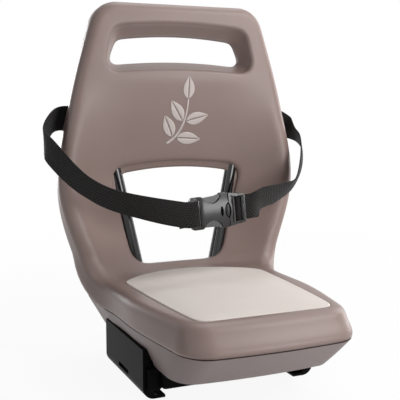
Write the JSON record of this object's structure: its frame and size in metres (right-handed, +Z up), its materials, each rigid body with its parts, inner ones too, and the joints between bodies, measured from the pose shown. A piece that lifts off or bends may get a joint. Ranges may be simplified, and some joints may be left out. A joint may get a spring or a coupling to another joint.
{
  "type": "child bike seat",
  "caption": "Junior carrier seat for a bicycle: moulded shell with handle opening and back window, foam pad, waist belt with buckle, and clamp jaws for carrier tubes.",
  "frame": {"origin": "middle of the plane in which the clamp base rests on the carrier's two tubes, below the front third of the backrest", "axes": "X to the viewer's right seen from the front (symmetry plane is X = 0), Y backward, Z up; the seat plane is level"},
  "size_m": [0.349, 0.2997, 0.4348],
  "materials": {
    "shell_plastic": "fine-textured taupe moulding",
    "pan_plastic": "fine-textured taupe moulding",
    "pad_foam": "cream closed-cell foam",
    "tube_steel": "gloss black powder coat",
    "zinc_steel": "bright zinc plated",
    "webbing": "ribbed black polyester webbing",
    "buckle_plastic": "satin black acetal",
    "clamp_plastic": "satin black glass-filled nylon"
  },
  "bodies": {
    "seat": {"seat_shell": "shell_plastic", "base_pan": "pan_plastic", "seat_pad": "pad_foam", "frame_hoop": "tube_steel", "hoop_plugs": "clamp_plastic", "belt_left": "webbing", "belt_right": "webbing", "buckle_socket": "buckle_plastic", "buckle_plug": "buckle_plastic", "clamp_base": "clamp_plastic", "hoop_clips": "tube_steel", "clip_screws": "zinc_steel", "cross_straps": "zinc_steel", "base_bolts": "zinc_steel", "base_nuts": "zinc_steel", "shell_screws": "zinc_steel", "belt_anchors": "zinc_steel", "anchor_screws": "zinc_steel"},
    "jaw_left_body": {"jaw_left": "clamp_plastic", "jaw_nut_left": "zinc_steel"},
    "jaw_right_body": {"jaw_right": "clamp_plastic", "jaw_nut_right": "zinc_steel"},
    "spindle": {"clamp_spindle": "zinc_steel", "thumbwheel": "clamp_plastic"}
  },
  "joints": [
    {"name": "spindle_turn", "type": "hinge", "parent": "seat", "child": "spindle", "pos_m": [0, -0.045, 0.011], "axis": [1, 0, 0], "range_deg": [0, 1805]},
    {"name": "jaw_left_slide", "type": "slide", "parent": "seat", "child": "jaw_left_body", "axis": [1, 0, 0], "range_m": [0, 0.02]},
    {"name": "jaw_right_slide", "type": "slide", "parent": "seat", "child": "jaw_right_body", "axis": [-1, 0, 0], "range_m": [0, 0.0201]}
  ],
  "couplings": [
    {"joint": "spindle_turn", "follows": "jaw_left_slide", "rad_per_m": 1570.8},
    {"joint": "jaw_right_slide", "follows": "jaw_left_slide", "ratio": 1}
  ]
}
